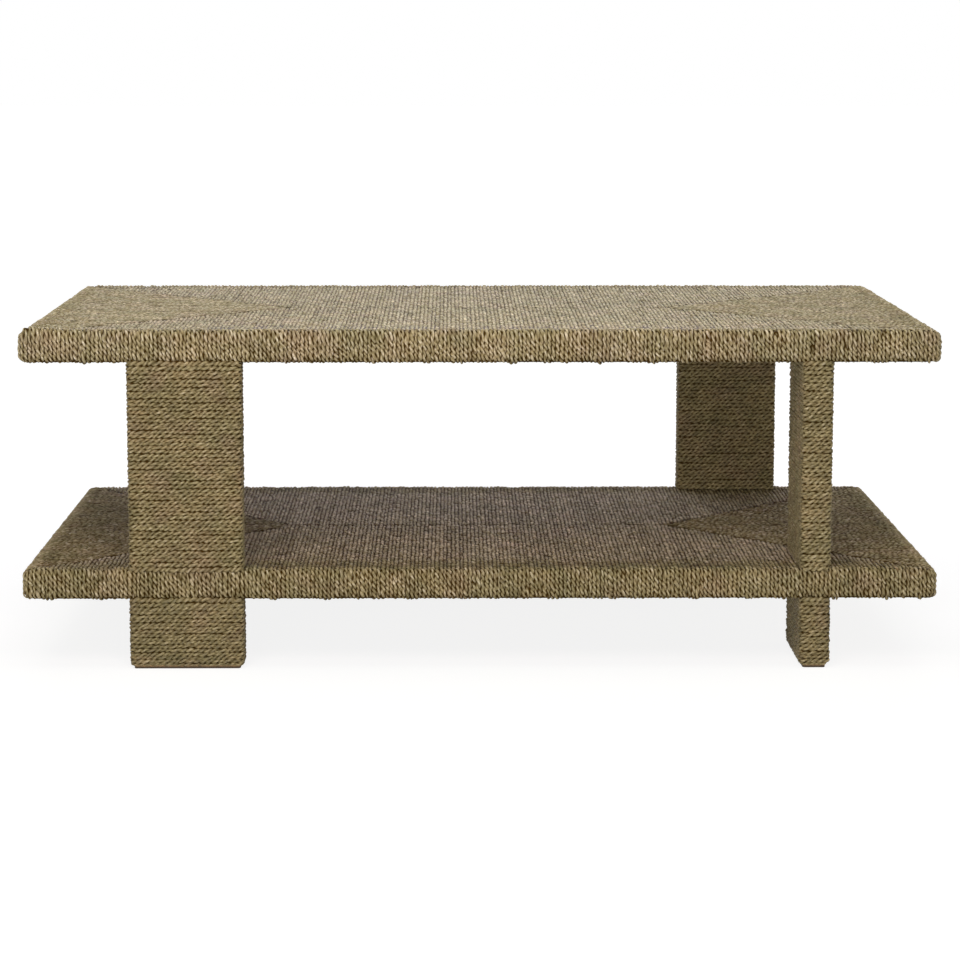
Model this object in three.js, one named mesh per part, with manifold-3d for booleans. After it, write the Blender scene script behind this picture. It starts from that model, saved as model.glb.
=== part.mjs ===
// A low two-tier table covered all over in twisted seagrass cord, in millimetres, +Z up.
//
// Two equal slabs, the top and the shelf, stand on four slab legs. Each slab is a joined wooden
// frame with a plywood deck let into it. Four fields of cord are wound round the frame and meet
// in mitres that run from the corners to a short seam along the middle.
// The legs are boards wound round with cord. Going round the table they turn by a quarter, so
// that each one shows its broad face on one side of its corner and its edge on the other.
// Two long bolts per leg run from the foot through the shelf into nuts in the frame of the top.
// The origin is on the floor under the middle of the table, X runs along it, the front faces -Y.

import * as THREE from 'three';
import { mergeVertices } from 'three/addons/utils/BufferGeometryUtils.js';
import Module from 'manifold-3d';

const wasm = await Module();
wasm.setup();

// Whole table
const tableLength = 1270;
const tableDepth = 711;
const tableHeight = 470;
const shelfHeight = 140; // floor to the upper face of the shelf
const slabThickness = 43; // top and shelf alike, cord included

// Cord covering
const cordThickness = 6;
const slabEdgeRadius = 11; // long edges of a slab, in section
const slabCornerRadius = 12; // upright corners of a slab, in plan
const seamGap = 0.3; // between two fields of cord
const fitGap = 0.3; // between pieces that fit into or over each other
const leastRadius = 0.5; // the smallest rounding under a covering

// Legs, cord included
const legWidth = 160;
const legThickness = 44;
const legInset = 148; // end of the slab to the outer face of the leg
const legCornerRadius = 8;
const footEdgeRadius = 5; // lower edge of the cord on a foot
const soleThickness = 3;
const soleCornerRadius = 4;

// Slab frame
const railWidth = 36;
const endRailWidth = 44;
const crossRailWidth = 60;
const tenonLength = 20;
const tenonThickness = 12;
const tenonShoulder = 8; // from the edge of a rail to the edge of its tenon
const deckThickness = 9;
const rebateWidth = 10;

// Bolts and nuts
const boltRadius = 4;
const boltHoleRadius = 4.5;
const boltHeadRadius = 8;
const boltHeadHeight = 5.5;
const boltEdgeDistance = 54; // end of a leg to the middle of its nearer bolt
const counterboreRadius = 9;
const counterboreDepth = 9;
const nutFlangeRadius = 9.5;
const nutFlangeThickness = 1.5;
const nutBarrelRadius = 5.5;
const nutBarrelLength = 11;
const nutBoreRadius = 4.3;

// How finely round stretches are divided, and how far a cutter runs past what it cuts
const cornerSteps = 2;
const edgeSteps = 4;
const holeSides = 12;
const hexagonSides = 6;
const cutOverrun = 15;
const weldDistance = 0.0001;

const halfLength = tableLength / 2;
const halfDepth = tableDepth / 2;
const legHalfWidth = legWidth / 2;

const slabs = {
  top: { bottom: tableHeight - slabThickness, top: tableHeight },
  shelf: { bottom: shelfHeight - slabThickness, top: shelfHeight },
};

// Going round the table the broad face lies along X, then Y, then X, then Y.
const legPlaces = [
  { name: 'front_left', sideX: -1, sideY: -1, broadAlongX: true },
  { name: 'front_right', sideX: 1, sideY: -1, broadAlongX: false },
  { name: 'back_right', sideX: 1, sideY: 1, broadAlongX: true },
  { name: 'back_left', sideX: -1, sideY: 1, broadAlongX: false },
];

function finish(color, roughness, metalness = 0) {
  return new THREE.MeshStandardMaterial({ color, roughness, metalness });
}

const finishes = {
  slabCord: finish(0x9a8f76, 0.85),
  legCord: finish(0x7e7050, 0.88),
  pine: finish(0xb8925f, 0.7),
  plywood: finish(0xc6a673, 0.7),
  sole: finish(0x6b3f26, 0.6),
  zincSteel: finish(0x9da1a6, 0.4, 0.9),
};

// Shapes and solids

function toSolid(geometry) {
  geometry.deleteAttribute('normal');
  geometry.deleteAttribute('uv');
  const merged = mergeVertices(geometry, weldDistance);
  const mesh = new wasm.Mesh({
    numProp: 3,
    vertProperties: merged.attributes.position.array,
    triVerts: new Uint32Array(merged.index.array),
  });
  return new wasm.Manifold(mesh);
}

function toGeometry(solid) {
  const mesh = solid.getMesh();
  const geometry = new THREE.BufferGeometry();
  geometry.setAttribute('position', new THREE.BufferAttribute(mesh.vertProperties, 3));
  geometry.setIndex(new THREE.BufferAttribute(mesh.triVerts, 1));
  geometry.computeVertexNormals();
  return geometry;
}

// Lifts a geometry so that its lowest and highest points lie exactly on two planes.
function spanHeight(geometry, bottom, top) {
  geometry.computeBoundingBox();
  const { min, max } = geometry.boundingBox;
  const position = geometry.attributes.position;
  for (let i = 0; i < position.count; i += 1) {
    const z = position.getZ(i);
    let height = bottom + (z - min.z);
    if (z === min.z) height = bottom;
    if (z === max.z) height = top;
    position.setZ(i, height);
  }
  return geometry;
}

function prism(shape, bottom, top) {
  const options = { depth: top - bottom, bevelEnabled: false, curveSegments: cornerSteps };
  return toSolid(spanHeight(new THREE.ExtrudeGeometry(shape, options), bottom, top));
}

function box(low, high) {
  const outline = new THREE.Shape();
  outline.moveTo(low.x, low.y);
  outline.lineTo(high.x, low.y);
  outline.lineTo(high.x, high.y);
  outline.lineTo(low.x, high.y);
  return prism(outline, low.z, high.z);
}

function polygon(points) {
  return new THREE.Shape(points.map(([x, y]) => new THREE.Vector2(x, y)));
}

function roundBar(place, radius, bottom, top, sides = holeSides) {
  const corners = Array.from({ length: sides }, (_, i) => {
    const angle = (2 * Math.PI * i) / sides;
    return [place.x + radius * Math.cos(angle), place.y + radius * Math.sin(angle)];
  });
  return prism(polygon(corners), bottom, top);
}

function roundedRectangle(sizeX, sizeY, radius) {
  const x = sizeX / 2;
  const y = sizeY / 2;
  const outline = new THREE.Shape();
  outline.moveTo(-x + radius, -y);
  outline.lineTo(x - radius, -y);
  outline.absarc(x - radius, -y + radius, radius, -Math.PI / 2, 0);
  outline.lineTo(x, y - radius);
  outline.absarc(x - radius, y - radius, radius, 0, Math.PI / 2);
  outline.lineTo(-x + radius, y);
  outline.absarc(-x + radius, y - radius, radius, Math.PI / 2, Math.PI);
  outline.lineTo(-x, -y + radius);
  outline.absarc(-x + radius, -y + radius, radius, Math.PI, 1.5 * Math.PI);
  return outline;
}

// A board with all its edges rounded, standing between two heights.
function roundedBoard(sizeX, sizeY, bottom, top, edgeRadius, cornerRadius) {
  const geometry = new THREE.ExtrudeGeometry(roundedRectangle(sizeX, sizeY, cornerRadius), {
    depth: top - bottom - 2 * edgeRadius,
    bevelThickness: edgeRadius,
    bevelSize: edgeRadius,
    bevelOffset: -edgeRadius,
    bevelSegments: edgeSteps,
    curveSegments: cornerSteps,
  });
  return toSolid(spanHeight(geometry, bottom, top));
}

// The outside of a slab, or what lies a given depth below it.
function slabBody(slab, inset) {
  const edgeRadius = Math.max(slabEdgeRadius - inset, leastRadius);
  return roundedBoard(
    tableLength - 2 * inset,
    tableDepth - 2 * inset,
    slab.bottom + inset,
    slab.top - inset,
    edgeRadius,
    Math.max(slabCornerRadius - inset, edgeRadius + leastRadius),
  );
}

function cut(solid, cutters) {
  return cutters.reduce((rest, cutter) => rest.subtract(cutter), solid);
}

// Sizes that the pieces share

const coreInset = cordThickness + fitGap;
const coreHalfLength = halfLength - coreInset;
const coreHalfDepth = halfDepth - coreInset;
const railInner = coreHalfDepth - railWidth; // |y| of the inner face of a front or back rail
const endRailInner = coreHalfLength - endRailWidth; // |x| of the inner face of an end rail

function coreHeights(slab) {
  const top = slab.top - coreInset;
  return { bottom: slab.bottom + coreInset, top, deck: top - deckThickness };
}

function legOutline(place) {
  const sizeX = place.broadAlongX ? legWidth : legThickness;
  const sizeY = place.broadAlongX ? legThickness : legWidth;
  return {
    sizeX,
    sizeY,
    x: place.sideX * (halfLength - legInset - sizeX / 2),
    y: place.sideY * (halfDepth - sizeY / 2),
  };
}

function boltPlaces(place) {
  const { x, y } = legOutline(place);
  const reach = legHalfWidth - boltEdgeDistance;
  return [-reach, reach].map((offset) => ({
    x: place.broadAlongX ? x + offset : x,
    y: place.broadAlongX ? y : y + offset,
  }));
}

// A leg along X stands under a front or back rail, one along Y under a cross rail.
function nutTop(place) {
  const heights = coreHeights(slabs.top);
  return place.broadAlongX ? heights.top : heights.deck;
}

const crossRailX = halfLength - legInset - legThickness / 2;

// Room for the bolts in a slab, and in the top for the nuts too.
function boltCutters(slab, low, high) {
  return legPlaces.flatMap((place) => boltPlaces(place).flatMap((bolt) => {
    const through = roundBar(bolt, boltHoleRadius, low, high);
    if (slab !== slabs.top) return [through];
    const top = nutTop(place);
    const barrelBottom = top - nutBarrelLength - fitGap;
    return [
      through,
      roundBar(bolt, nutBarrelRadius + fitGap, barrelBottom, high),
      roundBar(bolt, nutFlangeRadius + fitGap, top - nutFlangeThickness, high),
    ];
  }));
}

// Slab frame

// The tenon at one end of a rail that runs along Y, or with a gap the mortise for it.
function tenon(x, width, bottom, top, side, gap) {
  const middle = (bottom + top) / 2;
  const inner = side * (railInner - (gap ? 0 : tenonLength));
  const outer = side * (railInner + tenonLength + gap);
  const halfWidth = width / 2 - tenonShoulder + gap;
  return box(
    { x: x - halfWidth, y: Math.min(inner, outer), z: middle - tenonThickness / 2 - gap },
    { x: x + halfWidth, y: Math.max(inner, outer), z: middle + tenonThickness / 2 + gap },
  );
}

function railsAlongY(slab) {
  const { bottom, top, deck } = coreHeights(slab);
  const endX = coreHalfLength - endRailWidth / 2;
  return [
    { name: 'left_end_rail', x: -endX, width: endRailWidth, bottom, top },
    { name: 'right_end_rail', x: endX, width: endRailWidth, bottom, top },
    { name: 'left_cross_rail', x: -crossRailX, width: crossRailWidth, bottom, top: deck },
    { name: 'right_cross_rail', x: crossRailX, width: crossRailWidth, bottom, top: deck },
  ];
}

// The step in the rails that the deck lies in.
function deckRebate(slab) {
  const { deck } = coreHeights(slab);
  const reachX = endRailInner + rebateWidth;
  const reachY = railInner + rebateWidth;
  return box({ x: -reachX, y: -reachY, z: deck }, { x: reachX, y: reachY, z: slab.top });
}

function railAlongX(slab, side) {
  const { bottom, top } = coreHeights(slab);
  const outer = side * coreHalfDepth;
  const inner = side * railInner;
  const rail = box(
    { x: -coreHalfLength, y: Math.min(outer, inner), z: bottom },
    { x: coreHalfLength, y: Math.max(outer, inner), z: top },
  );
  const mortises = railsAlongY(slab).map((other) => (
    tenon(other.x, other.width, other.bottom, other.top, side, fitGap)
  ));
  const bolts = boltCutters(slab, slab.bottom, slab.top);
  return cut(rail.intersect(slabBody(slab, coreInset)), [deckRebate(slab), ...mortises, ...bolts]);
}

function railAlongY(slab, rail) {
  const halfWidth = rail.width / 2;
  const middle = box(
    { x: rail.x - halfWidth, y: -railInner, z: rail.bottom },
    { x: rail.x + halfWidth, y: railInner, z: rail.top },
  );
  const joined = [-1, 1].reduce(
    (solid, side) => solid.add(tenon(rail.x, rail.width, rail.bottom, rail.top, side, 0)),
    middle,
  );
  const bolts = boltCutters(slab, slab.bottom, slab.top);
  return cut(joined.intersect(slabBody(slab, coreInset)), [deckRebate(slab), ...bolts]);
}

function deckPanel(slab) {
  const { top, deck } = coreHeights(slab);
  const reachX = endRailInner + rebateWidth - fitGap;
  const reachY = railInner + rebateWidth - fitGap;
  const panel = box({ x: -reachX, y: -reachY, z: deck }, { x: reachX, y: reachY, z: top });
  if (slab === slabs.top) return panel;
  return cut(panel, boltCutters(slab, slab.bottom, slab.top));
}

// Cord covering of a slab

// Each field keeps to its own side of the mitres, which run at 45 degrees from the corners.
function fieldOutline(field) {
  const farX = halfLength + cutOverrun;
  const farY = halfDepth + cutOverrun;
  const seamEnd = halfLength - halfDepth;
  const shift = seamGap * Math.SQRT1_2;
  const side = field === 'front' || field === 'left' ? -1 : 1;
  if (field === 'front' || field === 'back') {
    const corners = [[-farX, farY], [farX, farY], [seamEnd, 0], [-seamEnd, 0]];
    return polygon(corners.map(([x, y]) => [x, side * (y + shift)]));
  }
  const corners = [[farX, -farY], [farX, farY], [seamEnd, 0]];
  return polygon(corners.map(([x, y]) => [side * (x + shift), y]));
}

function weaveField(slab, field) {
  const low = slab.bottom - cutOverrun;
  const high = slab.top + cutOverrun;
  const wound = slabBody(slab, 0).subtract(slabBody(slab, cordThickness));
  const piece = wound.intersect(prism(fieldOutline(field), low, high));
  const boltsEnd = slab === slabs.top ? slab.bottom + coreInset : high;
  const bolts = legPlaces.flatMap((place) => boltPlaces(place).map((bolt) => (
    roundBar(bolt, boltHoleRadius, low, boltsEnd)
  )));
  return cut(piece, bolts);
}

// Legs and feet

const legBoardInset = cordThickness + fitGap;
const wrapInnerRadius = Math.max(legCornerRadius - cordThickness, leastRadius);

function legBoard(place, bottom, top) {
  const { sizeX, sizeY, x, y } = legOutline(place);
  const outline = roundedRectangle(
    sizeX - 2 * legBoardInset,
    sizeY - 2 * legBoardInset,
    wrapInnerRadius,
  );
  const board = prism(outline, bottom, top).translate([x, y, 0]);
  return cut(board, boltPlaces(place).map((bolt) => roundBar(bolt, boltHoleRadius, bottom, top)));
}

function wrapHollow(place, bottom, top) {
  const { sizeX, sizeY } = legOutline(place);
  const outline = roundedRectangle(
    sizeX - 2 * cordThickness,
    sizeY - 2 * cordThickness,
    wrapInnerRadius,
  );
  return prism(outline, bottom - cutOverrun, top + cutOverrun);
}

function legWrap(place, bottom, top) {
  const { sizeX, sizeY, x, y } = legOutline(place);
  const outside = prism(roundedRectangle(sizeX, sizeY, legCornerRadius), bottom, top);
  return outside.subtract(wrapHollow(place, bottom, top)).translate([x, y, 0]);
}

// The cord on a foot is rounded in at its lower edge.
function footWrap(place, bottom, top) {
  const { sizeX, sizeY, x, y } = legOutline(place);
  const cornerRadius = Math.max(legCornerRadius, footEdgeRadius + leastRadius);
  const tall = roundedBoard(sizeX, sizeY, bottom, top + cutOverrun, footEdgeRadius, cornerRadius);
  const below = box({ x: -sizeX, y: -sizeY, z: bottom }, { x: sizeX, y: sizeY, z: top });
  return tall.intersect(below).subtract(wrapHollow(place, bottom, top)).translate([x, y, 0]);
}

const headSeat = soleThickness + counterboreDepth;

function footBoard(place, top) {
  const board = legBoard(place, soleThickness, top);
  return cut(board, boltPlaces(place).map((bolt) => (
    roundBar(bolt, counterboreRadius, soleThickness, headSeat)
  )));
}

function footSole(place) {
  const { sizeX, sizeY, x, y } = legOutline(place);
  const outline = roundedRectangle(
    sizeX - 2 * legBoardInset,
    sizeY - 2 * legBoardInset,
    soleCornerRadius,
  );
  return prism(outline, 0, soleThickness).translate([x, y, 0]);
}

// Bolts and nuts

function tieBolt(bolt, top) {
  const head = roundBar(bolt, boltHeadRadius, headSeat - boltHeadHeight, headSeat, hexagonSides);
  return head.add(roundBar(bolt, boltRadius, headSeat - boltHeadHeight / 2, top));
}

function flangedNut(bolt, top) {
  const flange = roundBar(bolt, nutFlangeRadius, top - nutFlangeThickness, top);
  const barrel = roundBar(bolt, nutBarrelRadius, top - nutBarrelLength, top);
  const bore = roundBar(bolt, nutBoreRadius, top - nutBarrelLength - cutOverrun, top + cutOverrun);
  return flange.add(barrel).subtract(bore);
}

// Assembly

const table = new THREE.Group();

function addPiece(name, solid, material) {
  const mesh = new THREE.Mesh(toGeometry(solid), material);
  mesh.name = name;
  table.add(mesh);
}

for (const [name, slab] of Object.entries(slabs)) {
  addPiece(`${name}_front_rail`, railAlongX(slab, -1), finishes.pine);
  addPiece(`${name}_back_rail`, railAlongX(slab, 1), finishes.pine);
  for (const rail of railsAlongY(slab)) {
    addPiece(`${name}_${rail.name}`, railAlongY(slab, rail), finishes.pine);
  }
  addPiece(`${name}_deck_panel`, deckPanel(slab), finishes.plywood);
  for (const field of ['front', 'back', 'left', 'right']) {
    addPiece(`${name}_weave_${field}`, weaveField(slab, field), finishes.slabCord);
  }
}

for (const place of legPlaces) {
  const footTop = slabs.shelf.bottom;
  const legBottom = slabs.shelf.top;
  const legTop = slabs.top.bottom;
  addPiece(`${place.name}_leg_board`, legBoard(place, legBottom, legTop), finishes.pine);
  addPiece(`${place.name}_leg_wrap`, legWrap(place, legBottom, legTop), finishes.legCord);
  addPiece(`${place.name}_foot_block`, footBoard(place, footTop), finishes.pine);
  addPiece(`${place.name}_foot_wrap`, footWrap(place, soleThickness, footTop), finishes.legCord);
  addPiece(`${place.name}_foot_sole`, footSole(place), finishes.sole);
  boltPlaces(place).forEach((bolt, i) => {
    const top = nutTop(place);
    addPiece(`${place.name}_tie_bolt_${i + 1}`, tieBolt(bolt, top), finishes.zincSteel);
    addPiece(`${place.name}_flanged_nut_${i + 1}`, flangedNut(bolt, top), finishes.zincSteel);
  });
}

export default table;
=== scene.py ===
# Looks of a low two-tier table that is covered all over in twisted seagrass cord.
#
# Both slabs carry four fields of cord side by side, which meet in mitres and in a middle seam.
# The legs and feet are wound round with one long cord each. Every cord is two plies twisted
# round each other. Lengths are in millimetres until a mesh is made, and then in metres.

import math

import bpy
import numpy as np
from mathutils import Matrix, Vector


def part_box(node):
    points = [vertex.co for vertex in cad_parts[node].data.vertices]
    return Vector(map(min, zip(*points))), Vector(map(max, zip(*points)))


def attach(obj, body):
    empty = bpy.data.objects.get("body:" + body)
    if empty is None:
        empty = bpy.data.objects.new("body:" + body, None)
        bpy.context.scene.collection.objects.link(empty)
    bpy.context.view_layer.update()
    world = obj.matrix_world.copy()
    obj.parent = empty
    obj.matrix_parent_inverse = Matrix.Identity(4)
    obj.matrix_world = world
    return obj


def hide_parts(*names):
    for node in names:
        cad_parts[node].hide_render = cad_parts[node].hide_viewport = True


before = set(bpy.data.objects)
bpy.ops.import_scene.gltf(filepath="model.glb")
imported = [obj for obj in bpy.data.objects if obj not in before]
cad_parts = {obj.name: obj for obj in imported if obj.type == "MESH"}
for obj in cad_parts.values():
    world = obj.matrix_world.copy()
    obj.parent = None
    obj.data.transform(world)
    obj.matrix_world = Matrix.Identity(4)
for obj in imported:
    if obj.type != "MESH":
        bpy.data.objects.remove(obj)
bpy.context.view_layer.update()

METRE = 1000.0
TURN = 2 * math.pi
CHANCE_LIMIT = 2.0  # chance sizes stay within this many standard deviations

# Cord
PLY_RADIUS = 1.72
PLY_ORBIT = 1.38  # middle of a ply to middle of its cord
CORD_RADIUS = PLY_ORBIT + PLY_RADIUS
LAY = 17.0  # length in which a ply goes once round its cord
LAY_SHARES = (0.85, 1.15)  # least and most of it that a slab's cord has
POST_LAY = 17.6
SLAB_PITCH = 5.75  # cord to cord on the slabs
LEG_PITCH = 5.45  # turn to turn on the legs, where the cord is pulled tighter
FOOT_PITCH = 5.2
CORD_OVERLAP = 1.16  # width of a cord's place over its pitch, where cords nest in each other
POST_OVERLAP = 1.28
CORD_HEIGHTS = (-0.45, 0.25)  # how high the cords of a slab lie, least and most
POST_HEIGHT = -0.1
CORD_BULKS = (0.92, 1.05)  # how thick a cord is over the usual one, least and most

# Slabs and legs, where the frame's boxes don't say them
SLAB_EDGE_RADIUS = 11.0
SLAB_CORNER_RADIUS = 12.0
CORNER_SPREAD = 10.5  # the radius at which cords keep their pitch round an upright corner
CORNER_FAN = math.pi / 3  # the most that a cord turns there
CORNER_THIN = 0.15  # the least share of its height that it keeps where the cords run together
LEG_CORNER_RADIUS = 8.0
FOOT_EDGE_RADIUS = 7.0

# Path places round the edge of a slab start at the upper bend
BEND_RADIUS = SLAB_EDGE_RADIUS - CORD_RADIUS
BEND_LENGTH = BEND_RADIUS * math.pi / 2
FLAT_START = 14.0  # how far behind the upper bend the flats begin to be pressed and painted lighter

# How far the rims of the top stand proud of its flat. The shelf's have a share of that.
FRONT_RIM = 4.4
OTHER_RIM = 1.6
RIM_WIDTH = 24.0
HEAP_WIDTH = 45.0  # of the crossed cords at the front left corner of the top

# The top is worn flatter. Its flat is painted lighter for the light and sheen that fall on it, and so is
# the shelf's flat, whose front is left darker as painted shade under the top. The shelf keeps some red
# blades, the
# fewest at its ends. What a look says:
# tone is added all over the slab; the top's is painted light, for the extra light that its edges get.
# flat_light is painted light added on its upper flat, and end_shade is painted shade added to it in the
# end fields.
# russet is the least share of red blades on the flat.
# set_in is the length over which flat_light and russet set in; on the shelf it is long, which leaves its
# front in painted shade.
# press is how much flatter the cords are on the flat, as a share.
# open is how much less dark the painted shade of their grooves is there, and below 0 how much darker.
# rim is the share of the rim heights above, and heap the extra height at the front left corner.
SLAB_LOOKS = {
    "top": {"tone": 1.3, "flat_light": 2.4, "end_shade": -0.9, "russet": 0.0, "press": 0.15,
            "open": -0.15, "set_in": 12.0, "rim": 1.0, "heap": 4.5},
    "shelf": {"tone": 0.0, "flat_light": 4.7, "end_shade": -3.2, "russet": 0.17, "press": 0.0,
              "open": -0.25, "set_in": 80.0, "rim": 0.4, "heap": 0.0},
}
END_RUSSET = 0.4  # redness of the end fields, as a share of that of the long ones
POST_LOOK = {"press": 0.0, "set_in": 12.0, "flat_light": 0.0, "russet": 0.0}
POST_TONE = -1.0  # the legs and feet are darker than the shelf's edge
FOOT_TONE = -1.6
BACK_SHADE = -0.7  # painted shade added to the back legs and feet, which stand in the shade under the table
POST_VARIETY = 0.6  # how much of the slabs' changes in tone the legs have

# Painted shade in the grooves: how much darker or less dark they are painted than their depth makes them
SINK_SHADE = 0.22  # darker per millimetre that a cord lies too deep
FACE_OPEN = 0.05  # less dark round the edge of a slab
RIM_SHADE = 0.25  # darker along the front rim
RIM_SHADE_START = 21.0  # how far behind the upper bend that begins, and in what length it grows
RIM_SHADE_LENGTH = 14.0
UNDER_SHADE = 0.42  # darker by the end of the lower bend
POST_OPEN = 0.08  # less dark on the legs, where the turns lie close

# How a cord changes along its length, with the longest wave in which it does
TWIST_SLACK = 0.8  # how far the twist runs ahead or behind, as an angle
SLACK_WAVE = 52.0
PLY_SWELL = 0.15  # how much a ply swells and thins, as a share
SWELL_WAVE = 24.0
PLY_BULGE = 0.22  # how far a ply works out of its cord or into it
BULGE_WAVE = 15.0
PLY_TONE = 1.0
TONE_WAVE = 34.0
PLY_RED = 0.5
RED_WAVE = 120.0
TURNS_KNOWN = 61  # turns of a ply after which its chance tones, heights and sizes repeat
TURN_TONE = 0.65  # how much these differ from turn to turn
TURN_LIFT = 0.2
TURN_SWELL = 0.05
GRAINS_KNOWN = 233  # specks along a ply after which they repeat
GRAIN_TONE = 1.2  # how light and dark the specks on the flats are

# How the cords of a field lie beside each other
BOUNDARY_SHIFT = 0.42  # how far the line between two cords lies off its place, and wobbles
BOUNDARY_WOBBLE = 0.45
FLAT_WOBBLE = 0.8
BOUNDARY_WAVE = 80.0
SPOT_SPACING = 32.0  # from one thin or thick spot of a cord to the next, on average
SPOT_HEIGHTS = (-1.5, 0.4)
SPOT_LENGTHS = (2.5, 5.5)
JOIN_HEIGHT = 2.1  # of the joins that lie together at the lower edge, two or three cords wide
JOIN_LENGTH = 8.0
JOIN_WAVE = 64.0
JOIN_LEVEL = 0.1  # where a wandering line is above this, there are joins

# How the cords of a field differ, from one to the next and in patches
CORD_TONE = 0.12
PATCH_TONE = 0.12
PATCH_WAVE = 130.0
MIDDLE_STRAW = 0.5  # how yellow a cord is, from 0 to 1
CORD_STRAW = 0.15
PATCH_STRAW = 0.15
STRAW_WAVE = 210.0
MIDDLE_RED = -0.9  # how red a cord is, where below 0 is not at all
CORD_RED = 0.25
PATCH_RED = 0.2
RED_PATCH_START = 400.0  # keeps the patches of redness off those of tone

# How a cord dips under at a mitre, and how little at the middle seam
MITRE_DIP = 3.4
MITRE_DIP_LENGTH = 7.5
SEAM_DIP = 1.4
SEAM_DIP_LENGTH = 4.5
EASY_SHARE = 0.6  # of the cords, whose upper ends are pulled under less than the others'
EASY_PULLS = (0.6, 1.2)
HARD_PULLS = (1.3, 1.9)

# How the turns of a post lie and differ
TURN_WOBBLE = 0.45  # how far a turn lies off its place
TURN_WAVE = 7.0  # in turns
POST_WOBBLE = 0.6
POST_WAVE = 150.0
POST_STRAW = 0.4
POST_STRAW_WAVE = 900.0
POST_MIDDLE_RED = -0.75
POST_RED = 0.4
POST_RED_WAVE = 1500.0

# Where a leg is flush with a slab, its first turns are pulled into the slab's round edge
WEDGE_RISE = 3.6
WEDGE_DECAY = 9.0  # depth below the leg's end in which the rise falls to a third

# Rows along a ply as angles of its turn, and columns across it as angles from straight up
FINE = {
    "rows": np.radians([-135.0, -81.0, -27.0, 27.0, 81.0, 135.0]),
    "columns": np.radians([-88.0, -42.0, 0.0, 42.0, 88.0]),
}
PLAIN = {
    "rows": np.radians([-125.0, -42.0, 42.0, 125.0]),
    "columns": np.radians([-86.0, 0.0, 86.0]),
}
LEAST_ROW = 0.4  # rows closer to a cord's end than this are left out
PLY_STRIP = SLAB_PITCH / 2  # width of a ply in the UV map
PLY_MARGIN = 0.04  # share of that width that stays free on each side
PLY_OFFSET = 977.0  # keeps the fibres of two plies apart

# The bed that closes the gaps between the cords, coloured darkest as the painted shade in them
BED_DEPTH = 0.5  # how far it lies below the middle of the cords
BED_COLUMNS = 90
BED_FLAT_ROWS = (1.0, 0.5, 0.04)  # shares of the way from the bend to the mitre or the seam
BED_BEND_ROWS = 6
BED_UNDER_ROWS = (0.0, 0.02, 0.5, 1.0)
BED_EDGE = 2.0  # how high it stands at the lower edge of a slab
BED_EDGE_ROWS = 3  # its last rows, in the lower bend
POST_BED_COLUMNS = 97
POST_BED_END = 10.0  # how far from a post's ends its middle rows lie
POST_BED_GAP = 1.0  # how far above the lower end it stops
FOOT_BED_GAP = 0.4  # where it turns in under a foot, and how deep
FOOT_BED_DEPTH = 1.5 * CORD_RADIUS
BED_STRIPS = 3  # its width in the UV map in strips of a ply, and its length
BED_REACH = 40.0
SHADED_BED_TINT = (-1.0, 0.3, 0.0)
SHADED_BED_STRAND = (0.0, 0.0, -0.3)  # deeper than any cord, so that it comes out darkest, as painted shade


# Smooth steps and wandering lines

def smooth_step(x):
    x = np.clip(x, 0.0, 1.0)
    return x * x * (3 - 2 * x)


def on_flat(q):
    """1 on the upper flat of a slab and 0 on its bend and its face, at a place on the path."""
    return smooth_step(-(q + FLAT_START) / BEND_LENGTH)


def pressed(height, q, press):
    """Heights over a slab's cord middle, flatter on the upper flats, with the crown kept."""
    return CORD_RADIUS - (CORD_RADIUS - height) * (1 - press * on_flat(q))


def wander(rng, longest):
    """A smooth line that wanders between about -1 and 1, with waves up to longest."""
    waves = longest * np.array([1.0, 0.61, 0.37])
    phases = rng.uniform(0, TURN, 3)
    weights = np.array([0.5, 0.5, 0.35])

    def line(q):
        angles = TURN * np.asarray(q)[..., None] / waves + phases
        return (np.sin(angles) * weights).sum(axis=-1)

    return line


# Meshes made of ribbons

class Ribbons:
    """Gathers the ribbons of one piece, with their UVs and what the cord material reads."""

    def __init__(self):
        self.points = []
        self.faces = []
        self.uvs = []
        self.tints = []
        self.strands = []
        self.count = 0
        self.strip = 0.0

    def add(self, points, uv, tint, strand):
        """Adds one ribbon, whose points are rows of columns, as a grid of faces."""
        rows, columns = points.shape[:2]
        index = self.count + np.arange(rows * columns).reshape(rows, columns)
        corners = [index[:-1, :-1], index[:-1, 1:], index[1:, 1:], index[1:, :-1]]
        self.faces.append(np.stack(corners, axis=-1).reshape(-1, 4))
        self.points.append(points.reshape(-1, 3))
        self.uvs.append(uv.reshape(-1, 2))
        self.tints.append(tint.reshape(-1, 3))
        self.strands.append(strand.reshape(-1, 3))
        self.count += rows * columns

    def make_piece(self, name, material, slot, *nodes):
        """One mesh of all the ribbons, which is shown in the place of the nodes."""
        points = np.concatenate(self.points) / METRE
        faces = np.concatenate(self.faces)
        uvs = np.concatenate(self.uvs)
        uvs = (uvs - uvs.min(axis=0)) / np.ptp(uvs, axis=0).max()
        mesh = bpy.data.meshes.new(name)
        mesh.vertices.add(len(points))
        mesh.vertices.foreach_set("co", points.ravel())
        mesh.loops.add(faces.size)
        mesh.loops.foreach_set("vertex_index", faces.ravel())
        mesh.polygons.add(len(faces))
        mesh.polygons.foreach_set("loop_start", np.arange(0, faces.size, 4))
        mesh.update(calc_edges=True)
        mesh.shade_smooth()
        for attribute, values in (("tint", self.tints), ("strand", self.strands)):
            layer = mesh.attributes.new(attribute, "FLOAT_VECTOR", "POINT")
            layer.data.foreach_set("vector", np.concatenate(values).ravel())
        uv_map = mesh.uv_layers.new(name="OFBake")
        uv_map.data.foreach_set("uv", uvs[faces.ravel()].ravel())
        mesh.materials.append(material)
        piece = bpy.data.objects.new(name, mesh)
        bpy.context.scene.collection.objects.link(piece)
        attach(piece, "root")
        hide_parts(*nodes)
        return piece


# Cords

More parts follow.
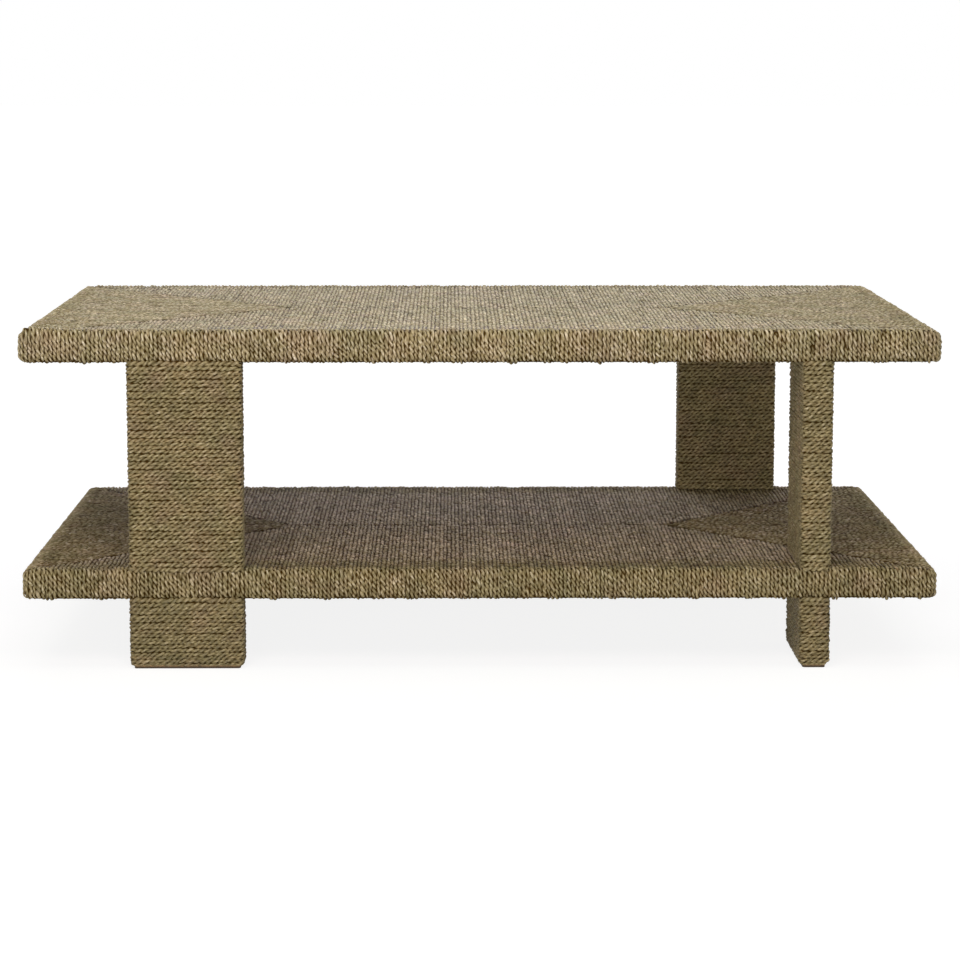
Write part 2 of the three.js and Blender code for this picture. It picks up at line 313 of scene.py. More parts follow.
class Cord:
    """One cord: its route, its stretch along it, and its twist, wobble and colour."""

    def __init__(self, rng, route, start, end, centre, width):
        self.route = route
        self.start = start
        self.end = end
        self.centre = centre
        self.width = width
        self.lay = LAY * rng.uniform(*LAY_SHARES)
        self.phase = rng.uniform(0, TURN)
        self.height = rng.uniform(*CORD_HEIGHTS)
        self.bulk = rng.uniform(*CORD_BULKS)
        self.slack = wander(rng, SLACK_WAVE)
        self.dips = ((MITRE_DIP, MITRE_DIP_LENGTH), (MITRE_DIP, MITRE_DIP_LENGTH))
        self.lumps = []  # place, height and length of each thick or sunken spot
        self.ply_tones = [wander(rng, TONE_WAVE), wander(rng, TONE_WAVE)]
        self.ply_sizes = [wander(rng, SWELL_WAVE), wander(rng, SWELL_WAVE)]
        self.ply_bulges = [wander(rng, BULGE_WAVE), wander(rng, BULGE_WAVE)]
        self.ply_reds = [wander(rng, RED_WAVE), wander(rng, RED_WAVE)]
        self.chances = rng.normal(size=(3, 2, TURNS_KNOWN)).clip(-CHANCE_LIMIT, CHANCE_LIMIT)
        self.grains = rng.normal(size=(2, GRAINS_KNOWN)).clip(-CHANCE_LIMIT, CHANCE_LIMIT)
        self.look = POST_LOOK
        self.more_shade = lambda q: POST_OPEN
        self.variety = 1.0
        self.tone = 0.0
        self.straw = MIDDLE_STRAW
        self.russet = 0.0

    def lift(self, q):
        """How far the cord lies above its usual height, with its dips and spots."""
        (first_dip, first_length), (last_dip, last_length) = self.dips
        first = first_dip * (1 - smooth_step((q - self.start) / first_length))
        last = last_dip * (1 - smooth_step((self.end - q) / last_length))
        lift = self.height - first - last
        for place, height, length in self.lumps:
            lift = lift + height * np.exp(-((q - place) / length) ** 2)
        return lift

    def shade(self, q, lift):
        """Painted shade added to the depth along the cord: less than 0 darkens its grooves."""
        return SINK_SHADE * np.minimum(lift - self.height, 0) + self.more_shade(q)

    def row_places(self, ply, low, high, rows):
        """Path places of the rows of one ply between low and high, and its angle there."""
        at_zero = self.phase + ply * math.pi
        first = math.floor(at_zero / TURN - high / self.lay) - 1
        last = math.ceil(at_zero / TURN - low / self.lay) + 1
        turns = np.arange(first, last + 1)
        angles = (turns[:, None] * TURN + rows[None, :]).ravel()
        q = (at_zero - angles) * self.lay / TURN
        q = q[(q > low + LEAST_ROW) & (q < high - LEAST_ROW)]
        q = np.concatenate([[low], np.sort(q), [high]])
        return q, at_zero - TURN * q / self.lay


def lay_cord(ribbons, cord, low, high, detail, uv_start):
    """Adds both plies of a cord between two places on its path."""
    low = max(low, cord.start)
    high = min(high, cord.end)
    if high - low < LEAST_ROW:
        return
    columns = detail["columns"]
    for ply in (0, 1):
        q, angle = cord.row_places(ply, low, high, detail["rows"])
        angle = angle + TWIST_SLACK * cord.slack(q)
        turn = np.round(angle / TURN).astype(int) % TURNS_KNOWN
        turn_tone, turn_lift, turn_swell = cord.chances[:, ply, turn]
        size = cord.bulk * (1 + PLY_SWELL * cord.ply_sizes[ply](q) + TURN_SWELL * turn_swell)
        orbit = PLY_ORBIT + PLY_BULGE * cord.ply_bulges[ply](q) + TURN_LIFT * turn_lift
        squeeze = cord.width(q) / (2 * CORD_RADIUS)
        lift = cord.lift(q)
        light = cord.shade(q, lift)
        across = PLY_RADIUS * size[:, None] * np.sin(columns)
        offset = squeeze[:, None] * ((orbit * np.sin(angle))[:, None] + across)
        height = (orbit * np.cos(angle))[:, None] + PLY_RADIUS * size[:, None] * np.cos(columns)
        # The painted shade of the grooves is added to the depth, which the material darkens
        depth = height / CORD_RADIUS + light[:, None]
        height = pressed(height, q[:, None], cord.look["press"]) + lift[:, None]
        along = np.broadcast_to(q[:, None], height.shape)
        points = cord.route(cord.centre(q)[:, None] + offset, along, height)
        share = np.linspace(PLY_MARGIN, 1 - PLY_MARGIN, len(columns))
        uv = np.stack([
            np.broadcast_to(ribbons.strip + PLY_STRIP * share, height.shape),
            along - uv_start,
        ], axis=-1)
        grain = cord.grains[ply, np.arange(len(q)) % GRAINS_KNOWN]
        tone = cord.tone + cord.variety * (PLY_TONE * cord.ply_tones[ply](q) + TURN_TONE * turn_tone)
        # How far the flat's painted light, its specks and its red blades have set in
        flat_share = smooth_step(-(q + FLAT_START) / cord.look["set_in"])
        tone = tone + flat_share * (GRAIN_TONE * grain + cord.look["flat_light"])
        red = np.clip(cord.russet + PLY_RED * cord.ply_reds[ply](q), 0, 1)
        red = np.maximum(red, cord.look["russet"] * flat_share)
        level = np.zeros_like(height)
        tint = np.stack([level + tone[:, None], level + cord.straw, level + red[:, None]], axis=-1)
        around = level + PLY_RADIUS * columns + ribbons.strip
        strand = np.stack([along + PLY_OFFSET * ply, around, depth], axis=-1)
        ribbons.add(points, uv, tint, strand)
        ribbons.strip += PLY_STRIP


def add_bed(ribbons, points):
    """Adds the bed under the cords, painted dark as the shade in their gaps, with a narrow place of its
    own in the UV map.
    """
    rows, columns = points.shape[:2]
    share = np.linspace(0, 1, columns)[None, :] + np.zeros((rows, 1))
    reach = np.linspace(0, 1, rows)[:, None] + np.zeros((1, columns))
    uv = np.stack([ribbons.strip + BED_STRIPS * PLY_STRIP * share, BED_REACH * reach], axis=-1)
    dark = np.broadcast_to(np.array(SHADED_BED_TINT), points.shape)
    deep = np.broadcast_to(np.array(SHADED_BED_STRAND), points.shape)
    ribbons.add(points, uv, dark, deep)
    ribbons.strip += (BED_STRIPS + 1) * PLY_STRIP


# Slabs

# The way a side faces and runs, and how far the rim of the top stands up there
SIDES = {
    "front": {"outward": (0, -1), "along": (-1, 0), "rim": FRONT_RIM},
    "back": {"outward": (0, 1), "along": (1, 0), "rim": OTHER_RIM},
    "left": {"outward": (-1, 0), "along": (0, 1), "rim": OTHER_RIM},
    "right": {"outward": (1, 0), "along": (0, -1), "rim": OTHER_RIM},
}


class Slab:
    """The top or the shelf: its size, and the way a cord goes over, round and under it."""

    def __init__(self, name):
        self.name = name
        self.look = SLAB_LOOKS[name]
        boxes = [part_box(f"{name}_weave_{side}") for side in SIDES]
        self.half_length = METRE * max(high[0] for _, high in boxes)
        self.half_depth = METRE * max(high[1] for _, high in boxes)
        self.bottom = METRE * min(low[2] for low, _ in boxes)
        self.top = METRE * max(high[2] for _, high in boxes)
        self.face = self.top - self.bottom - 2 * SLAB_EDGE_RADIUS
        self.face_end = BEND_LENGTH + self.face
        self.under_start = self.face_end + BEND_LENGTH

    def halves(self, side):
        """Half the length of a side's edge, and how far out that edge lies."""
        if side in ("front", "back"):
            return self.half_length, self.half_depth
        return self.half_depth, self.half_length

    def field_edge(self, side):
        """Half the length of a field along the edge, and round the corners to the mitres."""
        return self.halves(side)[0] - SLAB_CORNER_RADIUS + CORNER_SPREAD * math.pi / 4

    def run(self, side, a):
        """Length of flat cord between the mitre or the seam and the bend."""
        half, reach = self.halves(side)
        longest = min(half, reach) - SLAB_EDGE_RADIUS
        shortest = SLAB_CORNER_RADIUS - SLAB_EDGE_RADIUS
        return np.clip(half - SLAB_EDGE_RADIUS - np.abs(a), shortest, longest)

    def route(self, side):
        """Maps place along the edge, place on the path and height to points."""
        half, reach = self.halves(side)
        corner = half - SLAB_CORNER_RADIUS
        bend_out = SLAB_CORNER_RADIUS - SLAB_EDGE_RADIUS
        outward = np.array(SIDES[side]["outward"], float)
        sideways = np.array(SIDES[side]["along"], float)
        rim = SIDES[side]["rim"] * self.look["rim"]
        heap = self.look["heap"] if side == "front" else 0

        def points(a, q, h):
            upper = np.clip(q / BEND_RADIUS, 0, math.pi / 2)
            lower = np.clip((q - self.face_end) / BEND_RADIUS, 0, math.pi / 2)
            slope = upper + lower
            flat = np.minimum(q, 0) - np.maximum(q - self.under_start, 0)
            out = bend_out + flat + BEND_RADIUS * np.sin(slope)
            drop = np.clip(q - BEND_LENGTH, 0, self.face)
            middle = self.top - SLAB_EDGE_RADIUS - drop + BEND_RADIUS * np.cos(slope)
            at_rim = np.exp(-(np.minimum(q, 0) / RIM_WIDTH) ** 2) * np.clip(np.cos(slope), 0, 1)
            at_corner = np.exp(-((half - a) / HEAP_WIDTH) ** 2)
            middle = middle + (rim + heap * at_corner) * at_rim
            fan = np.clip((np.abs(a) - corner) / CORNER_SPREAD, 0, CORNER_FAN) * np.sign(a)
            thin = np.where(fan == 0, 1.0, np.clip(out / BEND_RADIUS, CORNER_THIN, 1))
            out = out + h * thin * np.sin(slope)
            x = np.clip(a, -corner, corner) + out * np.sin(fan)
            y = reach - SLAB_CORNER_RADIUS + out * np.cos(fan)
            z = middle + h * thin * np.cos(slope)
            plan = x[..., None] * sideways + y[..., None] * outward
            return np.concatenate([plan, z[..., None]], axis=-1)

        return points


def slab_shade(slab, side):
    """How dark the painted shade in a slab's grooves is on its flat, its front rim, its face and its lower
    bend.
    """
    open_flat = slab.look["open"]
    rim_shade = RIM_SHADE * slab.look["rim"] if side == "front" else 0

    def more_shade(q):
        open_part = smooth_step(-q / BEND_LENGTH)
        rim_part = smooth_step((q + RIM_SHADE_START) / RIM_SHADE_LENGTH) * open_part
        under_bend = smooth_step((q - slab.face_end) / BEND_LENGTH)
        shade = FACE_OPEN + (open_flat - FACE_OPEN) * open_part
        return shade - rim_shade * rim_part - UNDER_SHADE * under_bend

    return more_shade


def field_cords(slab, side, rng):
    """The cords of one field, each between two boundaries that wobble a little."""
    edge = slab.field_edge(side)
    count = round(2 * edge / SLAB_PITCH)
    pitch = 2 * edge / count
    route = slab.route(side)
    lines = [wander(rng, BOUNDARY_WAVE) for _ in range(count + 1)]
    most_shift = CHANCE_LIMIT * BOUNDARY_SHIFT
    shifts = rng.normal(scale=BOUNDARY_SHIFT, size=count + 1).clip(-most_shift, most_shift)
    patch = wander(rng, PATCH_WAVE)
    straw_patch = wander(rng, STRAW_WAVE)
    joins = wander(rng, JOIN_WAVE)
    look = dict(slab.look)
    if side in ("left", "right"):
        look["russet"] *= END_RUSSET
        look["flat_light"] += look["end_shade"]
    cords = []
    for i in range(count):
        a = -edge + (i + 0.5) * pitch

        def boundaries(q, i=i):
            wobble = BOUNDARY_WOBBLE + (FLAT_WOBBLE - BOUNDARY_WOBBLE) * on_flat(q)
            low = shifts[i] + wobble * lines[i](q)
            return low, pitch + shifts[i + 1] + wobble * lines[i + 1](q)

        def centre(q, a=a, boundaries=boundaries):
            return a - pitch / 2 + sum(boundaries(q)) / 2

        def width(q, boundaries=boundaries):
            low, high = boundaries(q)
            return CORD_OVERLAP * (high - low)

        run = float(slab.run(side, np.array(a)))
        at_mitre = run < min(slab.halves(side)) - SLAB_EDGE_RADIUS
        run += pitch / 2 if at_mitre else 0
        cord = Cord(rng, route, -run, slab.under_start + run, centre, width)
        cord.look = look
        cord.more_shade = slab_shade(slab, side)
        dip, dip_length = (MITRE_DIP, MITRE_DIP_LENGTH) if at_mitre else (SEAM_DIP, SEAM_DIP_LENGTH)
        pull = rng.uniform(*EASY_PULLS) if rng.random() < EASY_SHARE else rng.uniform(*HARD_PULLS)
        cord.dips = ((pull * dip, pull * dip_length), (dip, dip_length))
        for _ in range(rng.poisson(run / SPOT_SPACING)):
            place = rng.uniform(-run, slab.face_end)
            cord.lumps.append((place, rng.uniform(*SPOT_HEIGHTS), rng.uniform(*SPOT_LENGTHS)))
        join = JOIN_HEIGHT * max(0.0, float(joins(a)) - JOIN_LEVEL)
        cord.lumps.append((slab.under_start, join, JOIN_LENGTH))
        cord.tone = look["tone"] + CORD_TONE * rng.normal() + PATCH_TONE * patch(a)
        straw = MIDDLE_STRAW + CORD_STRAW * rng.normal() + PATCH_STRAW * straw_patch(a)
        cord.straw = float(np.clip(straw, 0, 1))
        cord.russet = CORD_RED * rng.normal() + PATCH_RED * patch(a + RED_PATCH_START) + MIDDLE_RED
        cords.append(cord)
    return cords


def field_bed(slab, side, first_share, last_share, under):
    """Points of the bed under part of a field, as rows along the edge."""
    edge = slab.field_edge(side)
    a = np.linspace(-edge + 2 * edge * first_share, -edge + 2 * edge * last_share, BED_COLUMNS)
    run = slab.run(side, a)[:, None]
    if under:
        places = slab.under_start + run * np.array(BED_UNDER_ROWS)
    else:
        bend = np.linspace(0, BEND_LENGTH, BED_BEND_ROWS)
        round_edge = np.concatenate([bend, slab.face_end + bend])
        places = np.concatenate([
            -run * np.array(BED_FLAT_ROWS),
            np.broadcast_to(round_edge, (len(a), len(round_edge))),
        ], axis=1)
    a = np.broadcast_to(a[:, None], places.shape)
    height = pressed(np.full(places.shape, -BED_DEPTH), places, slab.look["press"])
    if not under:
        height[:, -BED_EDGE_ROWS:] = BED_EDGE
    points = slab.route(side)(a, places, height)
    return points.swapaxes(0, 1)


def make_field(slab, side, seed, material):
    """The pieces of one field: the seen part, in halves on the long sides, and the underside."""
    cords = field_cords(slab, side, np.random.default_rng(seed))
    node = f"{slab.name}_weave_{side}"
    parts = {"": (0, 1)}
    if side in ("front", "back"):
        parts = {"_first": (0, 0.5), "_second": (0.5, 1)}
    longest = max(-cord.start for cord in cords)
    for ending, (low, high) in parts.items():
        ribbons = Ribbons()
        chosen = cords[round(low * len(cords)):round(high * len(cords))]
        for cord in chosen:
            lay_cord(ribbons, cord, -math.inf, slab.under_start, FINE, -longest)
        add_bed(ribbons, field_bed(slab, side, low, high, under=False))
        ribbons.make_piece(f"{slab.name}_{side}_cords{ending}", material, "slab_cord", node)
    ribbons = Ribbons()
    for cord in cords:
        lay_cord(ribbons, cord, slab.under_start, math.inf, PLAIN, slab.under_start)
    add_bed(ribbons, field_bed(slab, side, 0, 1, under=True))
    ribbons.make_piece(f"{slab.name}_{side}_cords_under", material, "slab_cord", node)


# Legs and feet

# The way a turn runs along each side of a post, seen from above
POST_WAYS = {"front": (1, 0), "right": (0, 1), "back": (-1, 0), "left": (0, -1)}


class Post:
    """A leg or a foot: a rounded upright board that one cord is wound round."""

    def __init__(self, node, step_side, flush_side, foot):
        low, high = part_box(node)
        self.node = node
        self.flush_side = list(POST_WAYS).index(flush_side)
        self.low = METRE * np.array(low)
        self.high = METRE * np.array(high)
        self.foot = foot
        turn_first = list(POST_WAYS).index(step_side)
        self.sides = [(turn_first + i) % 4 for i in range(4)]
        size = self.high - self.low
        self.flats = [float(size[i % 2]) - 2 * LEG_CORNER_RADIUS for i in self.sides]
        self.bend = LEG_CORNER_RADIUS - CORD_RADIUS
        self.bend_length = self.bend * math.pi / 2
        self.around = sum(self.flats) + 4 * self.bend_length

    def foot_inset(self, z):
        """How far the lowest turns of a foot lie inside its faces."""
        if not self.foot:
            return np.zeros_like(z)
        missing = np.clip(FOOT_EDGE_RADIUS - (z - self.low[2]), 0, FOOT_EDGE_RADIUS)
        return FOOT_EDGE_RADIUS - np.sqrt(FOOT_EDGE_RADIUS ** 2 - missing ** 2)

    def wedge_rise(self, v):
        """How far turns are pulled up into the slab above, or down into the slab below."""
        up = np.exp(-v / WEDGE_DECAY)
        down = 0 if self.foot else np.exp(-(self.high[2] - self.low[2] - v) / WEDGE_DECAY)
        return WEDGE_RISE * (up - down)

    def route(self, v, q, h):
        """Maps depth below the top, place on the path and distance out to points."""
        u = np.mod(q, self.around)
        middle = (self.low + self.high) / 2
        half = (self.high - self.low) / 2
        z = self.high[2] - v
        out = h - self.foot_inset(z)
        x = np.zeros_like(u)
        y = np.zeros_like(u)
        start = 0.0
        for side, flat in zip(self.sides, self.flats):
            way = np.array(list(POST_WAYS.values())[side], float)
            away = np.array([way[1], -way[0]])
            here = (u >= start) & (u <= start + flat + self.bend_length)
            forward = np.clip(u - start, 0, flat) - flat / 2
            angle = np.clip((u - start - flat) / self.bend, 0, math.pi / 2)
            turned = smooth_step(angle / (math.pi / 2))
            flush = int(side == self.flush_side) * (1 - turned)
            flush = flush + int((side + 1) % 4 == self.flush_side) * turned
            z = z + np.where(here, flush * self.wedge_rise(v), 0)
            reach = half[0] if away[0] else half[1]
            core = reach - LEG_CORNER_RADIUS
            distance = self.bend + out
            ahead = forward + distance * np.sin(angle)
            beside = core + distance * np.cos(angle)
            x = np.where(here, ahead * way[0] + beside * away[0], x)
            y = np.where(here, ahead * way[1] + beside * away[1], y)
            start += flat + self.bend_length
        return np.stack([x + middle[0], y + middle[1], z], axis=-1)


def wind_post(post, name, seed, material):
    """The cord of a leg or a foot, which steps down to its next turn on the post's first side."""
    rng = np.random.default_rng(seed)
    height = float(post.high[2] - post.low[2])
    turns = round(height / (FOOT_PITCH if post.foot else LEG_PITCH))
    pitch = height / turns
    looseness = wander(rng, TURN_WAVE)
    step = post.flats[0]
    wobble = wander(rng, POST_WAVE)

    def centre(q):
        ring = np.floor(q / post.around)
        within = q - ring * post.around
        down = ring - 1 + smooth_step(within / step)
        between_ends = (down > 0.5) & (down < turns - 1.5)
        shift = np.where(between_ends, TURN_WOBBLE * looseness(down), 0)
        return pitch * (down + 0.5) + shift + POST_WOBBLE * wobble(q)

    def width(q):
        return np.full_like(q, POST_OVERLAP * pitch)

    cord = Cord(rng, post.route, step, turns * post.around, centre, width)
    cord.height = POST_HEIGHT
    cord.tone = FOOT_TONE if post.foot else POST_TONE
    # The back legs and feet get painted shade.
    if name.startswith("back"):
        cord.tone += BACK_SHADE
    cord.variety = POST_VARIETY
    cord.lay = POST_LAY
    ribbons = Ribbons()
    lay_wound_cord(ribbons, cord, post, rng)
    add_bed(ribbons, post_bed(post))
    ribbons.make_piece(name, material, "leg_cord", post.node)


def lay_wound_cord(ribbons, cord, post, rng):
    """Adds a post's cord turn by turn, so that each turn has its own strip and colour."""
    straw = wander(rng, POST_STRAW_WAVE)
    russet = wander(rng, POST_RED_WAVE)
    turns = math.ceil(cord.end / post.around)
    for turn in range(turns):
        low = turn * post.around
        cord.straw = float(np.clip(MIDDLE_STRAW + POST_STRAW * straw(low), 0, 1))
        cord.russet = POST_RED * russet(low) + POST_MIDDLE_RED
        lay_cord(ribbons, cord, low, low + post.around, FINE, low)


def post_bed(post):
    """Points of the bed under a post's cord, as rows round the post from its top down."""
    q = np.linspace(0, post.around, POST_BED_COLUMNS)
    bottom = post.high[2] - post.low[2]
    depths = (0.0, POST_BED_END, bottom - POST_BED_END, bottom - POST_BED_GAP)
    levels = [(depth, -BED_DEPTH) for depth in depths]
    if post.foot:
        levels.append((bottom - FOOT_BED_GAP, -FOOT_BED_DEPTH))
    points = [post.route(np.full_like(q, v), q, np.full_like(q, h)) for v, h in levels]
    return np.stack(points)


# Materials

RELIEF = 0.3  # how deep the fibres and the grain are
GRAIN_LENGTH = 250.0  # of the streaks in sawn wood


def linear(colour):
    """An sRGB colour such as #B39C70 as linear red, green, blue and alpha."""
    channels = [int(colour[i:i + 2], 16) / 255 for i in (1, 3, 5)]
    return [c / 12.92 if c <= 0.04045 else ((c + 0.055) / 1.055) ** 2.4 for c in channels] + [1]


def add_node(tree, kind, inputs=None, **settings):
    """A node with its settings, whose inputs are values or other nodes' outputs."""
    node = tree.nodes.new(kind)
    for name, value in settings.items():
        setattr(node, name, value)
    for socket, value in (inputs or {}).items():
        if isinstance(value, bpy.types.NodeSocket):
            tree.links.new(value, node.inputs[socket])
        else:
            node.inputs[socket].default_value = value
    return node


def new_material(name):
    """A material without any nodes yet, and its node tree."""
    material = bpy.data.materials.new(name)
    material.use_nodes = True
    material.node_tree.nodes.clear()
    return material, material.node_tree


def finish_material(tree, shader):
    """Ends a node tree with its shader."""
    add_node(tree, "ShaderNodeOutputMaterial", {"Surface": shader.outputs[0]})


def mix_colours(tree, share, first, second, blend="MIX"):
    """The first colour with a share of the second in it, or multiplied by it."""
    mix = add_node(tree, "ShaderNodeMix", {0: share, 6: first, 7: second},
                   data_type="RGBA", blend_type=blend)
    return mix.outputs[2]


def multiply(tree, *factors):
    """The product of numbers that come from other nodes."""
    product = factors[0]
    for factor in factors[1:]:
        step = add_node(tree, "ShaderNodeMath", {0: product, 1: factor}, operation="MULTIPLY")
        product = step.outputs[0]
    return product


# Colours of dried seagrass
OLIVE_BLADE = "#918860"
STRAW_BLADE = "#B39F74"
YELLOW_BLADE = "#AB9E73"
ROSY_BLADE = "#AB9079"
RED_BLADE = "#9C7658"
WORN_AND_LIT_CREST = "#BDB195"
GROOVE_SHADE = "#705A19"  # painted shade: what lies deep in the grooves is multiplied by this


def seagrass_cord():
    """Dried seagrass, twisted by hand: dull straw and olive blades with hardly a sheen."""
    material, tree = new_material("twisted_seagrass_cord")
    tint = add_node(tree, "ShaderNodeAttribute", attribute_name="tint")
    tint = add_node(tree, "ShaderNodeSeparateXYZ", {0: tint.outputs["Vector"]})
    strand = add_node(tree, "ShaderNodeAttribute", attribute_name="strand")
    parts = add_node(tree, "ShaderNodeSeparateXYZ", {0: strand.outputs["Vector"]})

    def blade_noise(along_mm, across_mm, detail):
        place = add_node(tree, "ShaderNodeVectorMath", {
            0: strand.outputs["Vector"], 1: (1 / along_mm, 1 / across_mm, 0.0)}, operation="MULTIPLY")
        noise = add_node(tree, "ShaderNodeTexNoise",
                         {"Vector": place.outputs[0], "Scale": 1.0, "Detail": detail})
        return noise.outputs["Fac"]

    def spread(value, low, high, to_low, to_high):
        changed = add_node(tree, "ShaderNodeMapRange", {
            "Value": value, "From Min": low, "From Max": high, "To Min": to_low, "To Max": to_high})
        return changed.outputs[0]

    # Fibres 0.9 mm apart, creases and knots of 2 or 3 mm, and blades that change over 13 mm.
    fibre = blade_noise(3.3, 0.9, 2.0)
    knot = blade_noise(3.6, 2.2, 1.0)
    blade = blade_noise(13.0, 2.8, 1.0)
    # Whole bundles differ in hue over some 40 mm, whichever cord they went into.
    place = add_node(tree, "ShaderNodeTexCoord")
    bundle = add_node(tree, "ShaderNodeTexNoise",
                      {"Vector": place.outputs["Object"], "Scale": METRE / 42.0, "Detail": 1.5})
    bundle_hue = spread(bundle.outputs["Fac"], 0.35, 0.65, 0.0, 1.0)
    rosy = spread(add_node(tree, "ShaderNodeSeparateColor", {0: bundle.outputs["Color"]}).outputs[1],
                  0.5, 0.7, 0.0, 0.35)

    # In the tint, X is a cord's tone, Y how yellow it is and Z how red. In the strand, Z is how high a
    # place lies in its cord, where 1 is the crest, with the painted shade of the grooves added.
    hue = mix_colours(tree, bundle_hue, linear(OLIVE_BLADE), linear(STRAW_BLADE))
    hue = mix_colours(tree, tint.outputs["Y"], hue, linear(YELLOW_BLADE))
    hue = mix_colours(tree, rosy, hue, linear(ROSY_BLADE))
    hue = mix_colours(tree, tint.outputs["Z"], hue, linear(RED_BLADE))
    # The crests of the plies are worn paler, and this also paints a highlight on them.
    crest = spread(parts.outputs["Z"], 0.75, 1.0, 0.0, 0.33)
    hue = mix_colours(tree, crest, hue, linear(WORN_AND_LIT_CREST))
    # Painted shade: the deep places of the grooves are multiplied by a dark brown.
    sunken = spread(parts.outputs["Z"], 0.72, 0.05, 0.0, 1.0)
    hue = mix_colours(tree, sunken, hue, linear(GROOVE_SHADE), blend="MULTIPLY")
    # A tone of 0 leaves the hue about as it is written, and each step of tone adds a sixth of it.
    strength = multiply(
        tree,
        spread(tint.outputs["X"], -4.0, 8.0, 0.41, 2.42),
        spread(fibre, 0.25, 0.75, 0.75, 1.22),
        spread(knot, 0.3, 0.7, 0.68, 1.32),
        spread(blade, 0.3, 0.7, 0.75, 1.25),
    )
    colour = add_node(tree, "ShaderNodeVectorMath", {0: hue, "Scale": strength}, operation="SCALE")
    # The palest blades are also the greyest, and so the flats painted lighter also get a painted grey
    # sheen.
    colour = add_node(tree, "ShaderNodeHueSaturation", {
        "Color": colour.outputs[0], "Saturation": spread(strength, 1.0, 2.0, 1.0, 0.62)})

    bump = add_node(tree, "ShaderNodeBump", {"Height": fibre, "Strength": 0.5, "Distance": RELIEF / METRE})
    shader = add_node(tree, "ShaderNodeBsdfPrincipled", {
        "Base Color": colour.outputs[0],
        "Roughness": spread(knot, 0.3, 0.7, 0.45, 0.65),
        "Specular IOR Level": 0.07,
        "Sheen Weight": 0.02,
        "Sheen Roughness": 0.4,
        "Normal": bump.outputs[0],
    })
    finish_material(tree, shader)
    return material


def sawn_wood(name, pale, dark, ring_mm, roughness):
    """Sawn wood, with growth rings that are drawn out along the length of the table."""
    material, tree = new_material(name)
    place = add_node(tree, "ShaderNodeTexCoord")
    rings = METRE / ring_mm
    stretched = add_node(tree, "ShaderNodeVectorMath",
                         {0: place.outputs["Object"], 1: (METRE / GRAIN_LENGTH, rings, rings)},
                         operation="MULTIPLY")
    grain = add_node(tree, "ShaderNodeTexNoise",
                     {"Vector": stretched.outputs[0], "Scale": 1.0, "Detail": 4.0})
    colour = mix_colours(tree, grain.outputs["Fac"], linear(dark), linear(pale))
    bump = add_node(tree, "ShaderNodeBump",
                    {"Height": grain.outputs["Fac"], "Strength": 0.2, "Distance": RELIEF / METRE})
    shader = add_node(tree, "ShaderNodeBsdfPrincipled", {
        "Base Color": colour, "Roughness": roughness, "Normal": bump.outputs[0]})
    finish_material(tree, shader)
    return material


def zinc_plate():
    """Bright zinc on steel: a grey metal with a slightly blotched, satin face."""
    material, tree = new_material("zinc_plated_steel")
    # There are 300 blotches to a metre, so that each is some 3 mm across.
    place = add_node(tree, "ShaderNodeTexCoord")
    blotch = add_node(tree, "ShaderNodeTexNoise",
                      {"Vector": place.outputs["Object"], "Scale": 300.0, "Detail": 3.0})
    roughness = add_node(tree, "ShaderNodeMapRange", {
        "Value": blotch.outputs["Fac"], "To Min": 0.25, "To Max": 0.5})
    colour = mix_colours(tree, blotch.outputs["Fac"], linear("#9CA0A6"), linear("#BFC3C7"))
    shader = add_node(tree, "ShaderNodeBsdfPrincipled", {
        "Base Color": colour, "Metallic": 1.0, "Roughness": roughness.outputs[0]})
    finish_material(tree, shader)
    return material


# Studio

FLOOR_GLOW = 0.86  # how white the floor is under the table without any light on it
FLOOR_NEAR = 0.9  # metres from the middle of the table at which it begins to be whiter
FLOOR_FAR = 2.6
FLOOR_REACH = 30.0
BACKDROP_LIGHT = 0.1  # how strongly the backdrop lights the table

# Where each softbox stands, how wide and high it is, its power in watts and its colour. Lengths are in
# metres. The two weak ones at the sides keep the ends of the table from going dark.
TABLE_MIDDLE = (0.0, 0.0, 0.3)
SOFTBOXES = {
    "key_softbox": ((-0.3, -1.75, 1.75), (1.8, 0.8), 14.0, "#FFF0EC"),
    "fill_softbox": ((-0.3, -2.9, 0.5), (2.4, 0.6), 30.0, "#FFF9F5"),
    "overhead_softbox": ((0.0, -0.4, 2.5), (3.0, 1.2), 15.5, "#F5FFF0"),
    "back_softbox": ((0.0, 2.2, 1.65), (3.0, 1.0), 31.0, "#F3EDFF"),
    "right_softbox": ((2.5, -0.1, 0.9), (1.4, 0.8), 7.5, "#FFF6E6"),
    "left_softbox": ((-2.5, 0.3, 0.9), (1.4, 0.8), 4.0, "#FFF6E6"),
}

# The camera was fitted to the straight lines of the table in the photograph. Its place is in metres,
# its turns in degrees, its lens and sensor in millimetres, and its shift is a share of the sensor.
CAMERA_PLACE = (-0.0413, -4.0411, 0.8722)
CAMERA_PAN = -0.631
CAMERA_DOWN = 7.313
CAMERA_ROLL = 0.045
CAMERA_LENS = 101.64
CAMERA_SENSOR = 36.0
CAMERA_SHIFT = -0.10


def seen_ray(tree):
    """1 for what the camera sees straight, mirrored or through glass, else 0."""
    path = add_node(tree, "ShaderNodeLightPath")
    mirrored = add_node(tree, "ShaderNodeMath", {
        0: path.outputs["Is Camera Ray"], 1: path.outputs["Is Glossy Ray"]}, operation="MAXIMUM")
    seen = add_node(tree, "ShaderNodeMath", {
        0: mirrored.outputs[0], 1: path.outputs["Is Transmission Ray"]}, operation="MAXIMUM")
    return seen.outputs[0]


